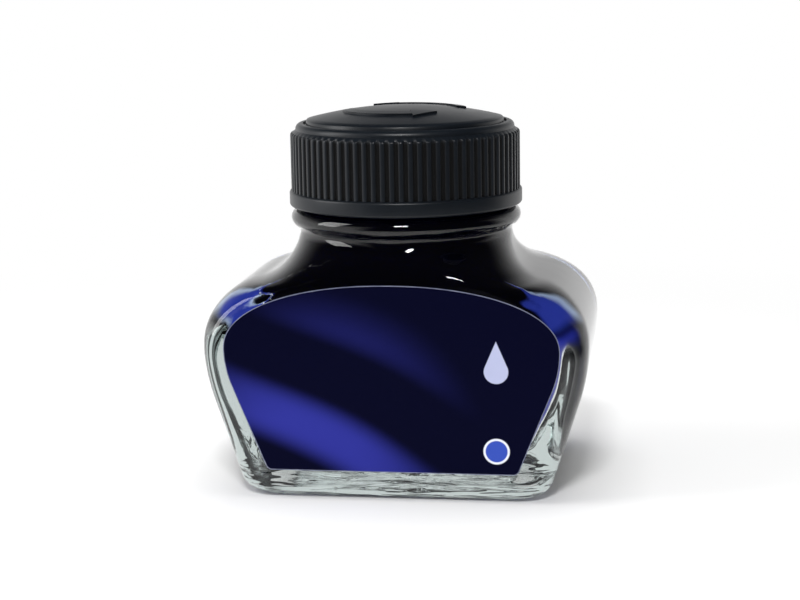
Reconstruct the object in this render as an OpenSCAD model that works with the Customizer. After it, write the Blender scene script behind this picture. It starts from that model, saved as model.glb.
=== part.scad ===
// Ink bottle: a filled and labelled glass bottle with a lined screw cap.
// Millimetres. +Z is up, the label faces -Y, and the origin is the middle of the foot.

/* [Glass body] */
// Width at the widest line
body_w = 56.6; // [52:0.1:64]
// Depth over the two flat panels
body_d = 37.7; // [35:0.1:44]
// Height of the widest line
widest_z = 22.6; // [20:0.1:30]
// Lean of the side walls, in degrees from upright
side_lean = 17.8; // [10:0.1:20]
// Radius of the bend from a leaning side up to the widest line
hip_r = 27.5; // [20:0.5:32]
// Radius of the round shoulders
shoulder_r = 8.9; // [7.5:0.1:11]
// Least rise of the shoulder towards the neck, in degrees
shoulder_rise = 5; // [3:0.5:10]
// Radius of the hollow between shoulder and neck
flare_r = 6; // [4:0.1:7]
// Rounding of the foot
foot_r = 3.1; // [2.5:0.1:5]
// Width of the rounding beside a panel at its foot
edge_foot = 4.5; // [3.5:0.1:7]
// Width of the rounding beside a panel where its arch starts
edge_arch = 2.7; // [2.5:0.1:5]
// Depth of the rounding of the four upright corners
corner_d = 5; // [3:0.1:9]
// Fall from the foot of the neck to the top of a panel
panel_drop = 5.1; // [4:0.1:6.5]
// Fall from the widest line to the start of a panel's arch
arch_drop = 1.8; // [1:0.1:4]
// Fullness of the panel's arch: 2 is an ellipse
arch_power = 2.15; // [1.8:0.05:3]

/* [Glass wall] */
// Thickness of the front and back walls
wall_panel = 4.5; // [3:0.1:5.5]
// Thickness of the side walls at the widest line
wall_side = 3.2; // [2.5:0.1:4.2]
// Thickness of the base over its bearing ring
base_t = 5.8; // [3:0.1:7]
// Lean of the inner side walls, in degrees from upright
inner_lean = 26; // [18:0.5:28]
// Rounding of the inner floor's edge
inner_foot_r = 3; // [2:0.1:4]
// Width of the flat bearing ring under the foot
bearing_w = 3; // [2:0.1:5]
// Depth of the dish inside the bearing ring
dish_h = 0.8; // [0.4:0.1:1.5]

/* [Neck] */
// Outside diameter of the neck under the bead
neck_d = 32.1; // [30:0.1:34]
// Height of the plain neck under the bead
neck_h = 1; // [0.5:0.1:3]
// Section radius of the bead
bead_r = 1.3; // [1:0.1:2]
// Diameter of the threaded finish between its threads
finish_d = 29; // [27:0.1:30]
// Height of the finish over the bead
finish_h = 10.3; // [9.6:0.1:13]
// Diameter of the bore
bore_d = 24.4; // [20:0.1:25]
// Rounding of the lip
lip_r = 0.7; // [0.4:0.1:0.9]

/* [Thread] */
// Rise of the thread in one turn
thread_pitch = 4.23; // [3.8:0.01:4.6]
// Turns of the glass thread
thread_turns = 1.25; // [1:0.05:1.4]
// Height of the threads over their walls
thread_h = 1; // [0.8:0.05:1.2]
// Width of the glass thread at its foot
thread_w = 2.2; // [1.8:0.05:2.4]
// Width of the cap's thread at its foot
cap_thread_w = 1.6; // [1.4:0.05:1.8]
// Turns of the cap's thread
cap_thread_turns = 1.1; // [0.8:0.05:1.25]
// Slope of the thread's flanks, in degrees
flank = 30; // [20:1:33]
// Distance from the lip down to the top end of the glass thread
thread_drop = 2.1; // [1.9:0.05:2.5]
// Upright play between the two threads when the cap is tight
thread_play = 0.25; // [0.2:0.05:0.4]
// Clearance round the thread crests
thread_clear = 0.3; // [0.2:0.05:0.45]

/* [Cap] */
// Wall of the skirt under its ribs
cap_wall = 1.1; // [0.9:0.05:2]
// Wall of the cap's top
cap_top_t = 1.2; // [1:0.05:2]
// Gap between the bead and the cap's lower edge
cap_gap = 0.45; // [0.3:0.05:1]
// Number of ribs round the grip
rib_count = 80; // [48:1:96]
// Height of the ribs over the skirt
rib_h = 0.35; // [0.2:0.05:0.6]
// Height of the smooth band under the ribs
band_h = 2.3; // [1.5:0.1:3]
// Step from the rib tips out to the band
band_step = 0.3; // [0.15:0.05:0.6]
// Rounding of the band's edges
band_round = 0.4; // [0.2:0.05:0.7]
// Height of the smooth crown above the ribs
crown_h = 1.35; // [1.1:0.05:1.8]
// Step from the rib tips in to the crown
ledge_w = 0.8; // [0.5:0.05:1.2]
// Rounding of the crown
crown_round = 0.8; // [0.4:0.05:0.9]
// Width of the ring round the dome
ring_w = 1.6; // [1.5:0.05:2.4]
// Width of the groove beside the dome
groove_w = 0.45; // [0.3:0.05:0.6]
// Depth of the groove beside the dome
groove_h = 0.35; // [0.2:0.05:0.6]
// Step from the ring up to the dome's edge
dome_step = 0.5; // [0.3:0.05:0.8]
// Rise of the dome over its edge
dome_h = 1.85; // [1.2:0.05:3]
// Height of the raised turn arrows on the dome
arrow_h = 0.3; // [0.2:0.05:0.5]
// Radius of the arrows' middle line
arrow_r = 8.6; // [7:0.1:9.2]
// Width of the arrows' shafts
arrow_w = 1.5; // [1:0.1:2]

/* [Liner] */
// Thickness of the sealing wad
wad_t = 1.1; // [0.8:0.05:2]
// Thickness of the wad's film facing
facing_t = 0.15; // [0.1:0.05:0.3]
// Reach of the wad's seat inside the edge of the bore
seat_reach = 1.7; // [1:0.1:4]
// Clearance round the wad in the cap
wad_clear = 0.3; // [0.2:0.05:0.4]
// Height of the ring that keeps the wad in the cap
keeper_h = 0.4; // [0.3:0.05:0.6]
// Reach of that ring under the wad
keeper_reach = 0.2; // [0.15:0.05:0.3]
// Drop from the wad's facing to that ring
keeper_gap = 0.1; // [0.05:0.05:0.2]

/* [Label and ink] */
// Margin between the label and the sides of the flat panel
label_side = 1.15; // [0.6:0.05:2]
// Margin between the label and the top of the flat panel
label_top = 0.25; // [0.15:0.05:2]
// Height of the label's lower edge over the foot's rounding
label_foot = 1.3; // [0.2:0.1:4]
// Thickness of the label
label_t = 0.1; // [0.05:0.05:0.2]
// Rounding of the label's lower corners
label_corner_r = 1; // [0.5:0.1:3]
// Rise from the start of the panel's arch to the label's widest line
label_hip = 1.6; // [0:0.1:1.8]
// Rounding of the label's sides at its widest line
label_hip_r = 15; // [5:0.5:20]
// Height of the ink's surface
ink_z = 30; // [15:0.1:34]
// Gap between the ink and the glass
ink_gap = 0.05; // [0.03:0.01:0.1]

/* [Hidden] */
$fn = 96;

// Overlap of shapes that are cut or joined, and the step that keeps faceted and round faces apart.
lap = 0.5;
seam = 0.08;
// Least half-length of a section's flats, which keeps its corner points apart.
least_flat = 0.05;
// How far the panel's arch would run past the panel's top.
arch_over = 1;
// Points along the roundings.
foot_steps = 6;
hip_steps = 8;
shoulder_steps = 11;
flare_steps = 7;
dish_steps = 3;
bead_steps = 16;
lip_steps = 5;
arch_steps = 40;
corner_steps = 6;
arrow_steps = 12;
outer_corner_steps = 10;
inner_corner_steps = 7;
thread_steps = 40;
// Turn over which a thread fades out, in degrees.
fade = 30;
// Shares of a rib's pitch that its tip and each of its flanks take.
rib_tip = 0.35;
rib_flank = 0.2;
// Turns of an arrow's tail, the foot of its head and its point, and its head's width over its shaft's.
arrow_tail = 15;
arrow_neck = 105;
arrow_point = 132;
arrow_head = 2.3;

neck_r = neck_d / 2;
finish_r = finish_d / 2;
bore_r = bore_d / 2;

function arc(c, r, from, to, steps) =
    [for (i = [0:steps]) let (t = from + (to - from) * i / steps) c + r * [cos(t), sin(t)]];
function mix(a, b, t) = a + (b - a) * t;
function part_way(z, from, to) = max(0, min(1, (z - from) / (to - from)));

// The side outline of a body: a round foot, a leaning side, a bend up to the widest line, a round shoulder
// and a hollow up to a neck. A shape is [half width, half depth, widest z, hip radius, lean, floor z,
// foot radius, shoulder radius, neck radius, hollow radius].
function half_w(s) = s[0];
function half_d(s) = s[1];
function mid_z(s) = s[2];
function bend_r(s) = s[3];
function lean(s) = s[4];
function floor_z(s) = s[5];
function floor_r(s) = s[6];
function round_r(s) = s[7];
function top_r(s) = s[8];
function hollow_r(s) = s[9];

function bend_z(s) = mid_z(s) - bend_r(s) * sin(lean(s));
function arch_z(s) = mid_z(s) - arch_drop;
function side_x(s, z) =
    half_w(s) - bend_r(s) + (z < bend_z(s)
        ? bend_r(s) * cos(lean(s)) - (bend_z(s) - z) * tan(lean(s))
        : sqrt(pow(bend_r(s), 2) - pow(mid_z(s) - z, 2)));
function foot_z(s) = floor_z(s) + floor_r(s);
function foot_x(s) = side_x(s, foot_z(s)) - floor_r(s) / cos(lean(s));
function round_x(s) = half_w(s) - round_r(s);
function rise(s) =
    max(shoulder_rise, asin((top_r(s) + hollow_r(s) - round_x(s)) / (round_r(s) + hollow_r(s))));
function slope_w(s) =
    round_x(s) - top_r(s) - hollow_r(s) + (round_r(s) + hollow_r(s)) * sin(rise(s));
function neck_z(s) =
    mid_z(s) + (round_r(s) + hollow_r(s)) * cos(rise(s)) + slope_w(s) * tan(rise(s));
function panel_z(s) = neck_z(s) - panel_drop;

// Adds a point at a height to a rising line of points.
function with_level(line, z) =
    [for (i = [0:len(line) - 1])
        let (p = line[max(0, i - 1)], q = line[i])
        each p[1] < z && q[1] > z ? [mix(p, q, (z - p[1]) / (q[1] - p[1])), q] : [q]];
function outline(s) =
    let (line = concat(
        arc([foot_x(s), foot_z(s)], floor_r(s), -90, -lean(s), foot_steps),
        [[side_x(s, foot_z(s)), foot_z(s)]],
        arc([half_w(s) - bend_r(s), mid_z(s)], bend_r(s), -lean(s), -lean(s) / hip_steps, hip_steps - 1),
        arc([round_x(s), mid_z(s)], round_r(s), 0, 90 - rise(s), shoulder_steps),
        arc([top_r(s) + hollow_r(s), neck_z(s)], hollow_r(s), 270 - rise(s), 180, flare_steps)
    ))
    with_level(with_level(line, arch_z(s)), panel_z(s));

// Half depth at a height: the foot's round, the upright panel, then a soft step in to the neck.
function depth(s, z) =
    z < foot_z(s)
        ? half_d(s) - floor_r(s) + sqrt(max(0, pow(floor_r(s), 2) - pow(foot_z(s) - z, 2)))
        : mix(half_d(s), top_r(s), (1 - cos(180 * part_way(z, panel_z(s), neck_z(s)))) / 2);

// Half width of the flat panel at a height: leaning sides, then an arch.
function arch(z, from, top, half) = half * pow(1 - pow(part_way(z, from, top), arch_power), 1 / arch_power);
function edge_w(s, z) = mix(edge_foot, edge_arch, part_way(z, foot_z(s), arch_z(s)));
function panel_half(s) = side_x(s, arch_z(s)) - edge_arch;
function panel_x(s, a, z) =
    z <= arch_z(s)
        ? a - edge_w(s, z)
        : mix(
            arch(min(z, panel_z(s)), arch_z(s), panel_z(s) + arch_over, panel_half(s)),
            least_flat,
            part_way(z, panel_z(s), neck_z(s))
        );

// One level section: a rectangle whose corners are quarter ellipses.
function corner_depth(s, z, flat, b) =
    mix(corner_d, b - least_flat, z <= arch_z(s) ? 0 : 1 - flat / panel_half(s));
function section(s, a, z, steps) =
    let (
        b = depth(s, z),
        flat = panel_x(s, a, z),
        ry = corner_depth(s, z, flat, b),
        sides = [[1, 1], [-1, 1], [-1, -1], [1, -1]]
    )
    [for (q = [0:3], i = [0:steps])
        let (t = 90 * (q + i / steps))
        [
            sides[q][0] * flat + (a - flat) * cos(t),
            sides[q][1] * (b - ry) + ry * sin(t),
            z
        ]];

// Skins closed rings of points, from the lowest to the highest.
module skin(rings) {
    n = len(rings[0]);
    last = len(rings) - 1;
    polyhedron(
        points = [for (ring = rings, p = ring) p],
        faces = concat(
            [[for (i = [0:n - 1]) i]],
            [for (k = [0:last - 1], i = [0:n - 1])
                let (j = (i + 1) % n)
                each [
                    [k * n + i, (k + 1) * n + i, (k + 1) * n + j],
                    [k * n + i, (k + 1) * n + j, k * n + j]
                ]],
            [[for (i = [n - 1:-1:0]) last * n + i]]
        )
    );
}
module body_of(s, steps) {
    skin([for (p = outline(s)) section(s, p[0], p[1], steps)]);
}

outside = [
    body_w / 2, body_d / 2, widest_z, hip_r, side_lean, 0, foot_r, shoulder_r, neck_r + seam, flare_r
];
// The inner wall is drawn in by the named walls, and a further gap for the ink.
function inside(gap) =
    let (side = wall_side + gap)
    [
        body_w / 2 - side, body_d / 2 - wall_panel - gap, widest_z, hip_r - side, inner_lean, base_t + gap,
        inner_foot_r, shoulder_r - side, bore_r + seam - gap, flare_r + wall_panel
    ];

// Levels of the neck, the cap and the liner.
neck_base_z = neck_z(outside);
bead_z = neck_base_z + neck_h + bead_r;
bead_top_z = bead_z + bead_r;
rim_z = bead_top_z + finish_h;
wad_z = rim_z + facing_t;
ceiling_z = wad_z + wad_t;
ring_z = ceiling_z + cap_top_t;
rib_top_z = ring_z - crown_h;
cap_z = bead_top_z + cap_gap;
band_top_z = cap_z + band_h;
dome_edge_z = ring_z + dome_step;
apex_z = dome_edge_z + dome_h;

// Radii of the threads and the cap, from the finish outwards.
crest_r = finish_r + thread_h;
cap_inner_r = crest_r + thread_clear;
cap_crest_r = finish_r + thread_clear;
skirt_r = cap_inner_r + cap_wall;
rib_r = skirt_r + rib_h;
band_r = rib_r + band_step;
crown_r = rib_r - ledge_w;
dome_r = crown_r - ring_w;
wad_r = cap_inner_r - wad_clear;
keeper_r = wad_r - keeper_reach;

// A helical ridge. Its foot is sunk into the wall, and its ends fade into it.
// side is 1 for a ridge that stands outwards and -1 for one that stands inwards.
module ridge(wall_r, side, foot_w, start_z, start_turn, turns) {
    steps = ceil(thread_steps * turns);
    crest_w = foot_w - 2 * thread_h * tan(flank);
    skin([for (i = [0:steps])
        let (
            turn = 360 * turns * i / steps,
            grown = min(1, min(turn, 360 * turns - turn) / fade),
            foot = wall_r - side * lap,
            crest = wall_r + side * mix(-lap / 2, thread_h, grown),
            z = start_z + thread_pitch * turn / 360,
            t = start_turn + turn,
            ring = [[foot, -foot_w / 2], [crest, -crest_w / 2], [crest, crest_w / 2], [foot, foot_w / 2]]
        )
        [for (k = [0:3])
            let (p = ring[side > 0 ? 3 - k : k])
            [p[0] * cos(t), p[0] * sin(t), z + p[1]]]]);
}
thread_top_z = rim_z - thread_drop;
thread_z = thread_top_z - thread_pitch * thread_turns;
// The cap's thread hangs under the glass thread by half of each width, where they pass, and the play.
pass_w = thread_w / 2 + cap_thread_w / 2 - (thread_h + thread_clear) * tan(flank);
cap_thread_shift = pass_w + thread_play;
// It starts as soon as it is whole above the cap's lower edge.
cap_thread_turn =
    max(0, 360 * (cap_z + cap_thread_w / 2 + lap - thread_z + cap_thread_shift) / thread_pitch);
cap_thread_z = thread_z - cap_thread_shift + thread_pitch * cap_thread_turn / 360;

module neck_solid() {
    rotate_extrude()
        polygon(concat(
            [[0, neck_base_z - lap], [neck_r, neck_base_z - lap]],
            arc([neck_r, bead_z], bead_r, -90, 90, bead_steps),
            [[finish_r, bead_top_z]],
            arc([finish_r - lip_r, rim_z - lip_r], lip_r, 0, 90, lip_steps),
            [[0, rim_z]]
        ));
}
module bore_cut() {
    rotate_extrude()
        polygon(concat(
            [[0, neck_z(inside(0)) - lap], [bore_r, neck_z(inside(0)) - lap]],
            arc([bore_r + lip_r, rim_z - lip_r], lip_r, 180, 90, lip_steps),
            [[bore_r + lip_r, rim_z + lap], [0, rim_z + lap]]
        ));
}
// The shallow dish inside the bearing ring, which follows the foot's outline.
module dish_cut() {
    skin([for (i = [-1:dish_steps])
        let (
            t = 90 * max(0, i) / dish_steps,
            inset = bearing_w + corner_d / 2 * (1 - cos(t)),
            low = section(outside, foot_x(outside) - inset, 0, inner_corner_steps),
            b = depth(outside, 0)
        )
        [for (p = low) [p[0], p[1] * (b - inset) / b, i < 0 ? -lap : dish_h * sin(t)]]]);
}
module glass_bottle() {
    color([0.80, 0.86, 0.85, 0.45])
        difference() {
            union() {
                body_of(outside, outer_corner_steps);
                neck_solid();
                ridge(finish_r, 1, thread_w, thread_z, 0, thread_turns);
            }
            body_of(inside(0), inner_corner_steps);
            bore_cut();
            dish_cut();
        }
}

module ink_fill() {
    span = body_w + body_d;
    color([0.09, 0.10, 0.42])
        intersection() {
            body_of(inside(ink_gap), inner_corner_steps);
            translate([-span / 2, -span / 2, ink_z - span])
                cube(span);
        }
}

// The label keeps its margins inside the sides and the top of the flat panel.
module front_label() {
    foot = foot_z(outside);
    hip_z = arch_z(outside) + label_hip;
    half = panel_half(outside) - label_side;
    foot_half = side_x(outside, foot) - edge_foot - label_side;
    // The side leans so that it runs on into the rounding at the widest line.
    across = label_hip_r - half + foot_half;
    slant = asin(label_hip_r / norm([hip_z - foot, across])) - atan2(across, hip_z - foot);
    corner_z = foot + label_foot + label_corner_r;
    corner_x = foot_half + (corner_z - foot) * tan(slant) - label_corner_r / cos(slant);
    top = panel_z(outside) - label_top;
    right = concat(
        arc([corner_x, corner_z], label_corner_r, -90, -slant, corner_steps),
        arc([half - label_hip_r, hip_z], label_hip_r, -slant, -slant / hip_steps, hip_steps - 1),
        [for (i = [0:arch_steps])
            let (z = hip_z + (top - hip_z) * sin(90 * i / arch_steps))
            [arch(z, hip_z, top, half), z]]
    );
    left = [for (i = [len(right) - 2:-1:0]) [-right[i][0], right[i][1]]];
    color([0.05, 0.05, 0.22])
        translate([0, -body_d / 2, 0])
            rotate([90, 0, 0])
                linear_extrude(label_t)
                    polygon(concat(right, left));
}

// The dome's sphere, drawn in by a wall.
function dome_sphere_r() = (pow(dome_r, 2) + pow(dome_h, 2)) / (2 * dome_h);
module dome_ball(wall) {
    translate([0, 0, apex_z - dome_sphere_r()])
        sphere(dome_sphere_r() - wall);
}
module tube_between(r, z0, z1) {
    translate([0, 0, z0])
        cylinder(r = r, h = z1 - z0);
}
module cap_shell() {
    rotate_extrude()
        polygon(concat(
            [[0, cap_z]],
            arc([band_r - band_round, cap_z + band_round], band_round, -90, 0, lip_steps),
            arc([band_r - band_round, band_top_z - band_round], band_round, 0, 90, lip_steps),
            [[skirt_r, band_top_z], [skirt_r, rib_top_z], [crown_r, rib_top_z + ledge_w / 2]],
            arc([crown_r - crown_round, ring_z - crown_round], crown_round, 0, 90, lip_steps),
            [[dome_r + groove_w, ring_z], [dome_r + groove_w, ring_z - groove_h], [0, ring_z - groove_h]]
        ));
    intersection() {
        tube_between(dome_r, ring_z - groove_h - lap, apex_z + lap);
        dome_ball(0);
    }
}
// The grip's ribs: flat tips with sloped flanks, in one outline.
module grip() {
    step = 360 / rib_count;
    rib = [[0, 0], [rib_flank, 1], [rib_flank + rib_tip, 1], [2 * rib_flank + rib_tip, 0]];
    translate([0, 0, band_top_z - lap])
        linear_extrude(rib_top_z - band_top_z + lap)
            difference() {
                polygon([for (i = [0:rib_count - 1], p = rib)
                    let (t = step * (i + p[0]))
                    mix(skirt_r - seam, rib_r, p[1]) * [cos(t), sin(t)]]);
                circle(r = skirt_r - cap_wall / 2);
            }
}
// Two raised arrows on the dome that show which way the cap opens.
module turn_arrows() {
    low_z = dome_edge_z + dome_h / 4;
    barb = arrow_head * arrow_w / 2;
    intersection() {
        translate([0, 0, low_z])
            linear_extrude(apex_z - low_z + lap)
                for (half = [0, 180])
                    rotate(half)
                        polygon(concat(
                            arc([0, 0], arrow_r + arrow_w / 2, arrow_tail, arrow_neck, arrow_steps),
                            [
                                (arrow_r + barb) * [cos(arrow_neck), sin(arrow_neck)],
                                arrow_r * [cos(arrow_point), sin(arrow_point)],
                                (arrow_r - barb) * [cos(arrow_neck), sin(arrow_neck)]
                            ],
                            arc([0, 0], arrow_r - arrow_w / 2, arrow_neck, arrow_tail, arrow_steps)
                        ));
        dome_ball(-arrow_h);
    }
}
// The room inside the cap: the skirt, the wad's seat and the hollow of the dome.
module cap_room() {
    seat_r = bore_r - seat_reach;
    rotate_extrude()
        polygon([
            [0, cap_z - lap], [cap_inner_r + lap, cap_z - lap], [cap_inner_r + lap, cap_z],
            [cap_inner_r, cap_z + lap], [cap_inner_r, rim_z - keeper_gap - keeper_h],
            [keeper_r, rim_z - keeper_gap - keeper_h / 2], [keeper_r, rim_z - keeper_gap],
            [cap_inner_r, rim_z - keeper_gap], [cap_inner_r, ceiling_z], [0, ceiling_z]
        ]);
    intersection() {
        tube_between(seat_r, ceiling_z - lap, apex_z);
        dome_ball(cap_top_t);
    }
}
module screw_cap() {
    color([0.06, 0.06, 0.065])
        union() {
            difference() {
                union() {
                    cap_shell();
                    grip();
                    turn_arrows();
                }
                cap_room();
            }
            ridge(cap_inner_r, -1, cap_thread_w, cap_thread_z, cap_thread_turn, cap_thread_turns);
        }
}

module liner_wad() {
    color([0.92, 0.91, 0.88])
        tube_between(wad_r, wad_z, ceiling_z);
}
module liner_facing() {
    color([0.80, 0.83, 0.86])
        tube_between(wad_r, rim_z, wad_z);
}

glass_bottle();
ink_fill();
front_label();
screw_cap();
liner_wad();
liner_facing();
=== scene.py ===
"""Looks of the ink bottle: clear glass, blue ink, an arched film label and a ribbed black screw cap."""

import math

import bmesh
import bpy
import numpy as np
from mathutils import Matrix, Quaternion, Vector


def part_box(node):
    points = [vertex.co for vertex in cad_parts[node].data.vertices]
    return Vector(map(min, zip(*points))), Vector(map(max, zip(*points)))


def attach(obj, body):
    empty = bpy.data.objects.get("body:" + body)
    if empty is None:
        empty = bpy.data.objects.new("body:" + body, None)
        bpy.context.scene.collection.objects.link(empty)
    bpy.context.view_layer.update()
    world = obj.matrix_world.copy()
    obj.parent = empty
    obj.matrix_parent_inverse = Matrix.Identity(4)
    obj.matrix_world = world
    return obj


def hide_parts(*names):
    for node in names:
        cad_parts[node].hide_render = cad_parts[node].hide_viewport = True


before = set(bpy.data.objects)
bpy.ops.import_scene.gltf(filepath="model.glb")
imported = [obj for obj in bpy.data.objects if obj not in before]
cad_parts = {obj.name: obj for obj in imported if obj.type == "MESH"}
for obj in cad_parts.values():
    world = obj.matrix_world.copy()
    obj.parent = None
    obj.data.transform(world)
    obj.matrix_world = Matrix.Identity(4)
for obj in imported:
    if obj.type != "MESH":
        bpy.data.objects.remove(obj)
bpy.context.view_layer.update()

# Lengths are in millimetres and turns in degrees, as on the real bottle; meshes are made in metres.
MM = 0.001


def corners(node):
    """Lowest and highest corner of a CAD node, in millimetres."""
    return [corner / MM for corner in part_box(node)]


glass_high = corners("glass_bottle")[1]
ink_high = corners("ink_fill")[1]
label_low, label_high = corners("front_label")
cap_low = corners("screw_cap")[0]
wad_low, wad_high = corners("liner_wad")
facing_low, facing_high = corners("liner_facing")

# Sizes of the glass
HALF_W = glass_high.x
HALF_D = glass_high.y
RIM_Z = glass_high.z
WIDEST_Z = 22.6
SIDE_LEAN = 17.8
HIP_R = 27.5
SHOULDER_R = 8.9
FLARE_R = 6
FOOT_R = 3.1
EDGE_FOOT = 4.5
EDGE_ARCH = 2.7
CORNER_D = 5
PANEL_DROP = 5.1
ARCH_DROP = 1.8
ARCH_POWER = 2.15
ARCH_OVER = 1
WALL_PANEL = 4.5
WALL_SIDE = 3.2
BASE_T = 5.8
INNER_LEAN = 26
INNER_FOOT_R = 3
BEARING_W = 3
DISH_H = 0.8
NECK_R = 16.05
NECK_H = 1
BEAD_R = 1.3
FINISH_R = 14.5
BORE_R = 12.2
LIP_R = 0.7

# Sizes of the thread, on the glass and in the cap
THREAD_PITCH = 4.23
THREAD_H = 1
THREAD_FADE = 30
GLASS_THREAD_W = 2.2
GLASS_THREAD_TURNS = 1.25
GLASS_THREAD_DROP = 2.1
CAP_THREAD_W = 1.6
CAP_THREAD_TURNS = 1.1
THREAD_FLANK = 30
THREAD_PLAY = 0.25
THREAD_CLEAR = 0.3

# Sizes of the cap
CAP_INNER_R = FINISH_R + THREAD_H + THREAD_CLEAR
CAP_WALL = 1.1
CAP_TOP_T = 1.2
RIB_COUNT = 80
RIB_H = 0.35
RIB_FLANK = 0.2
RIB_TIP = 0.35
BAND_H = 2.3
BAND_STEP = 0.3
BAND_ROUND = 0.4
CROWN_H = 1.35
LEDGE_W = 0.8
CROWN_ROUND = 0.8
RING_W = 1.6
GROOVE_W = 0.45
GROOVE_H = 0.35
DOME_STEP = 0.5
DOME_H = 1.85
ARROW_H = 0.3
ARROW_R = 8.6
ARROW_W = 1.5
ARROW_TAIL = 15
ARROW_NECK = 105
ARROW_POINT = 132
ARROW_HEAD = 2.3
KEEPER_H = 0.4
KEEPER_REACH = 0.2
KEEPER_GAP = 0.1
WAD_CLEAR = 0.3
SEAT_REACH = 1.7
CAP_Z = cap_low.z
CEILING_Z = wad_high.z
RING_Z = CEILING_Z + CAP_TOP_T
RIB_TOP_Z = RING_Z - CROWN_H
BAND_TOP_Z = CAP_Z + BAND_H
DOME_EDGE_Z = RING_Z + DOME_STEP
APEX_Z = DOME_EDGE_Z + DOME_H
SKIRT_R = CAP_INNER_R + CAP_WALL
RIB_R = SKIRT_R + RIB_H
BAND_R = RIB_R + BAND_STEP
CROWN_R = RIB_R - LEDGE_W
DOME_R = CROWN_R - RING_W

# Sizes of the label and the ink
LABEL_SIDE = 1.15
LABEL_RIM = 0.12
LABEL_CORNER_R = 1
LABEL_HIP = 1.6
LABEL_HIP_R = 15
INK_WET = 0.03
INK_FILM = 0.05
FILM_TOP_Z = RIM_Z - 2.5
MENISCUS_H = 0.5

# Points round a ring of glass, and points of one rib: the share of its pitch and of its height
GLASS_RING = 192
RIB_SHAPE = [
    (0, 0), (0.07, 0.25), (RIB_FLANK - 0.04, 0.88), (RIB_FLANK + 0.03, 1),
    (RIB_FLANK + RIB_TIP / 2, 1),
    (RIB_FLANK + RIB_TIP - 0.03, 1), (RIB_FLANK + RIB_TIP + 0.04, 0.88),
    (2 * RIB_FLANK + RIB_TIP - 0.07, 0.25), (2 * RIB_FLANK + RIB_TIP, 0),
]
CAP_TURNS = [360 * (i + share) / RIB_COUNT for i in range(RIB_COUNT) for share, _ in RIB_SHAPE]

# How strongly light bends in the glass and in the ink
GLASS_IOR = 1.52
INK_IOR = 1.34


# Shapes


def arc(centre, radius, start, end, steps):
    """Points on an arc from one turn to another, both ends included."""
    turns = np.radians(np.linspace(start, end, steps + 1))
    return [(centre[0] + radius * math.cos(t), centre[1] + radius * math.sin(t)) for t in turns]


def part_way(z, low, high):
    """How far a height lies between two others, from 0 to 1."""
    return min(1, max(0, (z - low) / (high - low)))


def mix(a, b, t):
    return a + (b - a) * t


def evenly(line, count):
    """Points at even steps along a line of points, both ends included."""
    x, y = np.array(line).T
    run = np.concatenate([[0], np.cumsum(np.hypot(np.diff(x), np.diff(y)))])
    at = np.linspace(0, run[-1], count + 1)
    return list(zip(np.interp(at, run, x), np.interp(at, run, y)))


def even_turns(count):
    return [360 * i / count for i in range(count)]


def round_ring(radii, z, turns):
    """A level ring of points at given turns, with one radius or a radius for each."""
    radii = np.broadcast_to(radii, len(turns))
    return [(r * math.cos(math.radians(t)), r * math.sin(math.radians(t)), z) for r, t in zip(radii, turns)]


def thread_rise(turn, z, start_z, start_turn, turns, width):
    """How far a round-crested screw thread stands off its wall at a turn and a height."""
    rise = 0
    along = (turn - start_turn) % 360
    while along <= 360 * turns:
        off = abs(z - start_z - THREAD_PITCH * along / 360) / (width / 2)
        grown = min(1, min(along, 360 * turns - along) / THREAD_FADE)
        if off < 1:
            rise = max(rise, THREAD_H * grown * math.cos(math.pi / 2 * off))
        along += 360
    return rise


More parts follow.
